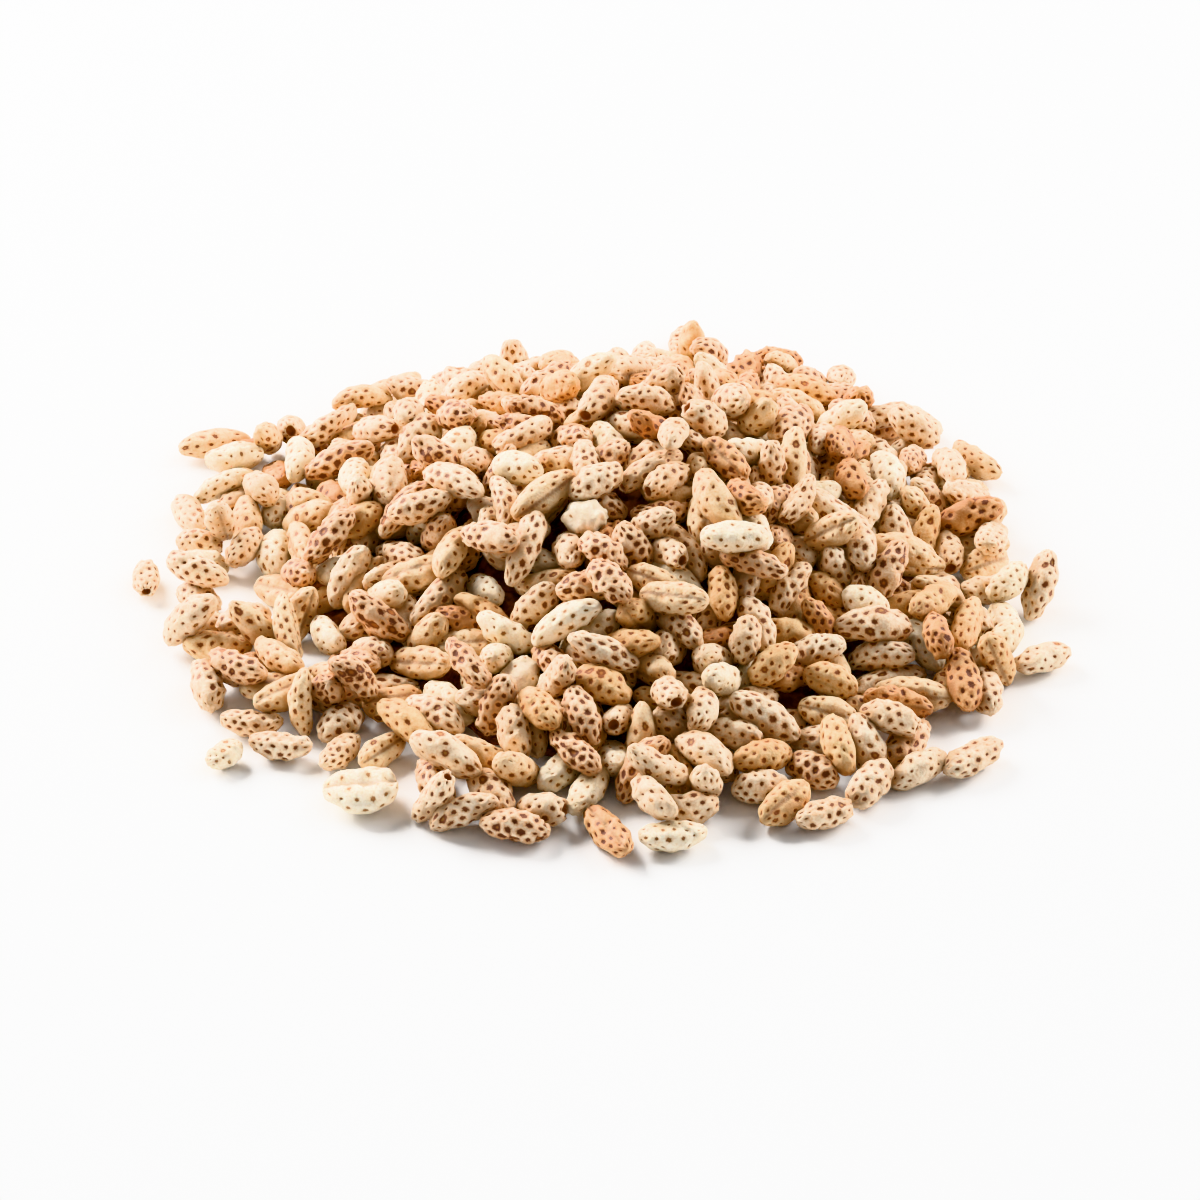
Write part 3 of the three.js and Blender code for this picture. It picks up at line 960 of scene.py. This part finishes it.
def grain_skin(grain, neighbours):
    """Points of one grain's skin in the heap's frame, and for each point its marks and tones.

    The neighbours are points on the axes of the grains round it: the shell gets painted shade, in brown,
    where it touches one.
    """
    kind = KINDS[grain.kind]
    length, width, thickness = grain.size
    outline_x, outline_girth, outline_hollow = side_outline(grain.size, kind.open_end)
    steps = np.hypot(np.diff(outline_x), np.diff(outline_girth) * width / 2)
    arc = np.concatenate([[0], np.cumsum(steps)])
    arc /= arc[-1]

    along = (LATTICE_ROWS + 1.0) / (ROWS + 1)
    around = LATTICE_ACROSS * 2 * math.pi / COLUMNS
    inside = np.sin(math.pi * along)
    spot_along = along + 0.012 * inside * waves(along, around, 3, (6, 14), (1, 3))
    spot_around = around + 0.07 * waves(along, around, 3, (6, 14), (1, 3))

    x = np.interp(spot_along, arc, outline_x)
    girth = np.interp(spot_along, arc, outline_girth)
    hollow = np.interp(spot_along, arc, outline_hollow)
    from_crease = np.angle(np.exp(1j * (spot_around - math.pi / 2)))
    crease = kind.crease * rng.uniform(*CREASE_SPREAD)
    groove = np.exp(-((from_crease / CREASE_WIDTH) ** 2)) * (1 - hollow) * smooth_step(0, 0.3, inside)
    strip = np.exp(-((from_crease / STRIP_WIDTH) ** 2)) * smooth_step(0, 0.3, inside)
    body = girth * (1 - crease * groove + STRIP_HEIGHT * crease * strip)
    bend = rng.uniform(*BEND_RANGE) * length
    y = body * width / 2 * np.cos(spot_around)
    z = body * thickness / 2 * np.sin(spot_around) + bend * ((2 * x / length) ** 2 - 0.3)

    points = np.stack([x, y, z], -1)
    normals = outward_normals(points)

    pit, is_big = pit_marks(kind)
    off_tip = smooth_step(0.05, 0.3, inside)
    pit = pit * off_tip * (1 - hollow)
    pit *= 1 - CREASE_FILL * groove * (crease > 0.15)
    pit_floor = is_big * smooth_step(0.75, 1.0, pit)
    lumps = waves(along, around, 7, (10, 30), (1, 5)) * smooth_step(0, 0.35, inside)
    relief = kind.lumps * 0.55 * lumps + kind.pit_depth * (0.2 - pit)
    points = points + normals * (relief * (1 - hollow))[..., None]

    tips = np.array([[outline_x[0], 0, 0], [outline_x[-1], 0, 0]])
    tips[:, 2] = bend * ((2 * tips[:, 0] / length) ** 2 - 0.3)
    shade = rng.uniform()
    patches = waves(along, around, 4, (2, 7), (0, 2))
    turn = np.array(grain.place.to_3x3())
    middle = np.array(grain.place.translation)
    # Painted shade: the side of the grain that faces down is browner, as the shade under a grain
    under = smooth_step(-0.1, 0.7, -(normals @ turn.T)[..., 2])
    # Painted shade where another grain's axis comes close, as the shadow between touching grains
    gaps = np.linalg.norm((points @ turn.T + middle)[..., None, :] - neighbours, axis=-1)
    painted_contact_shade = 1 - smooth_step(*PAINTED_SHADE_RANGE, gaps.min(-1))
    # The toast value: the kind's toasted patches and toasted tips, with the painted shade under the grain
    # and between touching grains added in
    toast = kind.toast * (0.5 + 0.5 * patches) + 0.5 * (1 - off_tip) * rng.uniform(0, 1) + 0.4 * under
    toast = np.clip(toast + painted_contact_shade, 0, 1)
    shades = np.full_like(toast, shade)
    # The marks: pits, whose brown also holds painted shade, big pits' floors, and the crease, where the
    # shader paints shade
    marks = np.stack([pit, pit_floor, groove * min(1, crease * 4)], -1).reshape(-1, 3)
    tones = np.stack([shades, toast, hollow], -1).reshape(-1, 3)
    tip_marks = np.zeros((2, 3))
    tip_tones = np.array([[shade, 0.5, hollow[0].mean()], [shade, 0.5, 0]])
    points = np.concatenate([points.reshape(-1, 3), tips])
    turned = points @ turn.T + middle
    lowest = turned[:, 2].min()
    turned[:, 2] -= lowest if grain.fixed else min(lowest, 0)
    return turned, np.concatenate([marks, tip_marks]), np.concatenate([tones, tip_tones])


# -------------------- pieces and materials


def mixed(tree, factor, first, second):
    """A colour that goes from the first to the second with the factor."""
    node = tree.nodes.new("ShaderNodeMix")
    node.data_type = "RGBA"
    tree.links.new(factor, node.inputs[0])
    for socket, colour in ((node.inputs[6], first), (node.inputs[7], second)):
        if isinstance(colour, tuple):
            socket.default_value = colour
        else:
            tree.links.new(colour, socket)
    return node.outputs[2]


def ramped(tree, value, low, high):
    """0 below low, 1 above high and a smooth change between them, in a shader."""
    node = tree.nodes.new("ShaderNodeMapRange")
    node.interpolation_type = "SMOOTHSTEP"
    node.inputs["From Min"].default_value = low
    node.inputs["From Max"].default_value = high
    tree.links.new(value, node.inputs["Value"])
    return node.outputs["Result"]


def combined(tree, operation, first, second):
    """Two values added, multiplied or so on. The second may be a plain number."""
    node = tree.nodes.new("ShaderNodeMath")
    node.operation = operation
    tree.links.new(first, node.inputs[0])
    if isinstance(second, float):
        node.inputs[1].default_value = second
    else:
        tree.links.new(second, node.inputs[1])
    return node.outputs[0]


def scaled(tree, value, factor):
    """A value times a plain number."""
    return combined(tree, "MULTIPLY", value, factor)


def attribute_parts(tree, name):
    """The three values of a vector attribute of the mesh."""
    attribute = tree.nodes.new("ShaderNodeAttribute")
    attribute.attribute_name = name
    split = tree.nodes.new("ShaderNodeSeparateXYZ")
    tree.links.new(attribute.outputs["Vector"], split.inputs[0])
    return split.outputs


def noise(tree, per_mm, detail):
    """A noise value on the object's own coordinates."""
    coordinates = tree.nodes.new("ShaderNodeTexCoord")
    node = tree.nodes.new("ShaderNodeTexNoise")
    node.inputs["Scale"].default_value = per_mm / MM
    node.inputs["Detail"].default_value = detail
    tree.links.new(coordinates.outputs["Object"], node.inputs["Vector"])
    return node.outputs["Fac"]


def new_material(name, roughness, specular):
    """A material with its node tree and its shader."""
    material = bpy.data.materials.new(name)
    material.use_nodes = True
    shader = material.node_tree.nodes["Principled BSDF"]
    shader.inputs["Roughness"].default_value = roughness
    shader.inputs["Specular IOR Level"].default_value = specular
    return material, material.node_tree, shader


def shell_material(name, kind):
    """A matt puffed shell: pale ridges, brown pits that also carry painted shade, toasted patches with
    painted shade under the grain and where grains touch, a crease painted dark as its shade, and a dark
    hole.
    """
    material, tree, shader = new_material(name, 0.68, 0.3)
    pit, pit_floor, groove = attribute_parts(tree, "marks")
    shade, toast, hollow = attribute_parts(tree, "tones")
    cloud = ramped(tree, noise(tree, 0.7, 3), 0.35, 0.65)
    grit = noise(tree, 2.6, 3)
    tone = combined(tree, "ADD", scaled(tree, shade, 0.25), scaled(tree, cloud, 0.3))
    tone = combined(tree, "ADD", tone, scaled(tree, ramped(tree, grit, 0.45, 0.66), 0.35))
    skin = mixed(tree, tone, linear(kind.ridge), linear(kind.blush))
    # The toast value, real toast with painted shade in it, browns the skin towards a darker blush
    toast_and_shade_brown = tuple(c * 0.6 for c in linear(kind.blush)[:3]) + (1,)
    skin = mixed(tree, scaled(tree, toast, 0.85), skin, toast_and_shade_brown)
    edge = combined(tree, "ADD", pit, scaled(tree, combined(tree, "SUBTRACT", grit, 0.5), 0.5))
    skin = mixed(tree, scaled(tree, ramped(tree, edge, 0.1, 0.5), 0.8), skin, linear(kind.blush))
    # Pits: the bran's brown, darkest in the middle, which also stands for the painted shade inside each pit
    skin = mixed(tree, scaled(tree, ramped(tree, edge, 0.4, 0.68), 0.94), skin, linear(kind.pit))
    skin = mixed(tree, ramped(tree, pit_floor, 0.3, 0.8), skin, linear(kind.pit_floor))
    # The crease: painted shade, the groove darkened towards the pit brown
    skin = mixed(tree, scaled(tree, ramped(tree, groove, 0.35, 0.95), 0.6), skin, linear(kind.pit))
    skin = mixed(tree, ramped(tree, hollow, 0.3, 0.9), skin, linear(HOLE_BROWN))
    tree.links.new(skin, shader.inputs["Base Color"])
    bump = tree.nodes.new("ShaderNodeBump")
    bump.inputs["Strength"].default_value = 0.7
    bump.inputs["Distance"].default_value = 0.2 * MM
    tree.links.new(grit, bump.inputs["Height"])
    tree.links.new(bump.outputs["Normal"], shader.inputs["Normal"])
    shader.inputs["Subsurface Weight"].default_value = 0.12
    shader.inputs["Subsurface Radius"].default_value = (1.0, 0.6, 0.36)
    shader.inputs["Subsurface Scale"].default_value = 1.2 * MM
    return material


def add_piece(name, points, triangles, material, nodes, spots=None, vectors=()):
    """A finished piece of the visual model, made of triangles, that rides on the part's one body."""
    mesh = bpy.data.meshes.new(name)
    mesh.vertices.add(len(points))
    mesh.vertices.foreach_set("co", points.astype(np.float32).ravel())
    mesh.loops.add(3 * len(triangles))
    mesh.loops.foreach_set("vertex_index", triangles.astype(np.int32).ravel())
    mesh.polygons.add(len(triangles))
    mesh.polygons.foreach_set("loop_start", np.arange(0, 3 * len(triangles), 3, dtype=np.int32))
    mesh.update(calc_edges=True)
    mesh.validate()
    mesh.shade_smooth()
    if spots is not None:
        layer = mesh.uv_layers.new(name="OFBake")
        layer.data.foreach_set("uv", spots.astype(np.float32).ravel())
    for label, values in vectors:
        attribute = mesh.attributes.new(label, "FLOAT_VECTOR", "POINT")
        attribute.data.foreach_set("vector", values.astype(np.float32).ravel())
    mesh.materials.append(material)
    piece = bpy.data.objects.new(name, mesh)
    bpy.context.scene.collection.objects.link(piece)
    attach(piece, "root")
    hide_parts(*nodes)


def grain_piece(name, grains, others, material, nodes):
    """One piece of several grains, each with its own square on the flat map, among all the others."""
    squares = math.ceil(math.sqrt(len(grains)))
    parts = []
    for number, grain in enumerate(grains):
        points, marks, tones = grain_skin(grain, neighbours_of(grain, others))
        triangles = SKIN_TRIANGLES + number * len(points)
        corner = np.array([number % squares, number // squares])
        spots = (corner + MAP_MARGIN + (1 - 2 * MAP_MARGIN) * SKIN_SPOTS) / squares
        parts.append((points, triangles, spots, marks, tones))
    points, triangles, spots, marks, tones = (np.concatenate(part) for part in zip(*parts))
    vectors = (("marks", marks), ("tones", tones))
    add_piece(name, points, triangles, material, nodes, spots, vectors)


def shade_core_material():
    """Painted shade: a dark brown, in patches, that shows in the deepest gaps between the grains."""
    material, tree, shader = new_material("core", 0.9, 0.1)
    patches = ramped(tree, noise(tree, 0.5, 4), 0.35, 0.65)
    brown = mixed(tree, patches, linear(CORE_DARK), linear(CORE_LIGHT))
    tree.links.new(brown, shader.inputs["Base Color"])
    return material


# -------------------- build

taken = []
photo = [photo_grain(*entry) for entry in PHOTO_GRAINS]
apart = apart_grains(taken)
rim = rim_grains(taken, photo)
fill = []
for rise in INSIDE_RISES:
    inside = Pile(apart + rim + fill)
    inside.add_random_grains(rise, [])
    settle(inside.grains, apart + rim + fill, FILL_FRAMES)
    fill += inside.grains

on_heap = Pile(apart + rim)
for grain in photo:
    if not grain.fixed:
        on_heap.add_photo_grain(grain)
fill = with_room(fill, on_heap.grains)
between = Pile(apart + rim + fill + on_heap.grains)
between.add_random_grains(OUTSIDE_RISE, [footprint(grain) for grain in apart + on_heap.grains])
top = on_heap.grains + between.grains
settle(top, apart + rim + fill, TOP_FRAMES)
hollows = hollow_grains(apart + rim + fill + top)
grains = apart + rim + fill + top + hollows
shown = seen_grains([grain for grain in grains if grain.fixed or stays_on_heap(grain)])

materials = {name: shell_material(name, kind) for name, kind in KINDS.items()}
for name in KINDS:
    of_kind = [grain for grain in shown if grain.kind == name and not grain.node]
    if of_kind:
        grain_piece(f"{name}_grains", of_kind, shown, materials[name], ["barley_heap"])
for grain in apart:
    grain_piece(grain.node + "_grain", [grain], shown, materials[grain.kind], [grain.node])

core_triangles = np.array([(f[0], f[k], f[k + 1]) for f in heap_faces for k in range(1, len(f) - 1)])
core_array = np.array([tuple(p) for p in core_points])
# The core, painted dark brown as the shade deep in the heap's gaps
add_piece("painted_shade_core", core_array, core_triangles, shade_core_material(), ["barley_heap"])

# -------------------- floor, light and camera

floor_corners = [(x * FLOOR_REACH, y * FLOOR_REACH, 0) for x, y in ((-1, -1), (1, -1), (1, 1), (-1, 1))]
floor_mesh = bpy.data.meshes.new("floor")
floor_mesh.from_pydata(floor_corners, [], [(0, 1, 2, 3)])
floor = bpy.data.objects.new("floor", floor_mesh)
floor_material, _, floor_shader = new_material("floor", 1.0, 0.0)
floor_shader.inputs["Base Color"].default_value = (FLOOR_GREY, FLOOR_GREY, FLOOR_GREY, 1)
floor_mesh.materials.append(floor_material)
bpy.context.scene.collection.objects.link(floor)


def aim(obj, target):
    """Turns a light or camera to look at a point."""
    obj.rotation_euler = (Vector(target) - obj.location).to_track_quat("-Z", "Y").to_euler()


def area_light(name, place, power):
    """A soft white lamp that shines on the heap."""
    light = bpy.data.lights.new(name, "AREA")
    light.shape = "DISK"
    light.size = LAMP_SIZE
    light.energy = power
    lamp = bpy.data.objects.new(name, light)
    lamp.location = place
    aim(lamp, LAMP_TARGET)
    bpy.context.scene.collection.objects.link(lamp)


for lamp_name, (lamp_place, lamp_power) in LAMPS.items():
    area_light(lamp_name, lamp_place, lamp_power)

scene = bpy.context.scene
world = bpy.data.worlds.new("studio")
world.use_nodes = True
background = world.node_tree.nodes["Background"]
background.inputs["Color"].default_value = (1, 1, 1, 1)
background.inputs["Strength"].default_value = WORLD_STRENGTH
scene.world = world
scene.view_settings.view_transform = "Khronos PBR Neutral"
scene.view_settings.look = "None"
scene.view_settings.exposure = 0.0

camera_data = bpy.data.cameras.new("camera")
camera_data.lens = CAMERA_LENS
camera_data.sensor_width = CAMERA_SENSOR
camera_data.clip_start = 0.01
camera = bpy.data.objects.new("camera", camera_data)
camera.location = CAMERA_PLACE
aim(camera, CAMERA_TARGET)
scene.collection.objects.link(camera)
scene.camera = camera
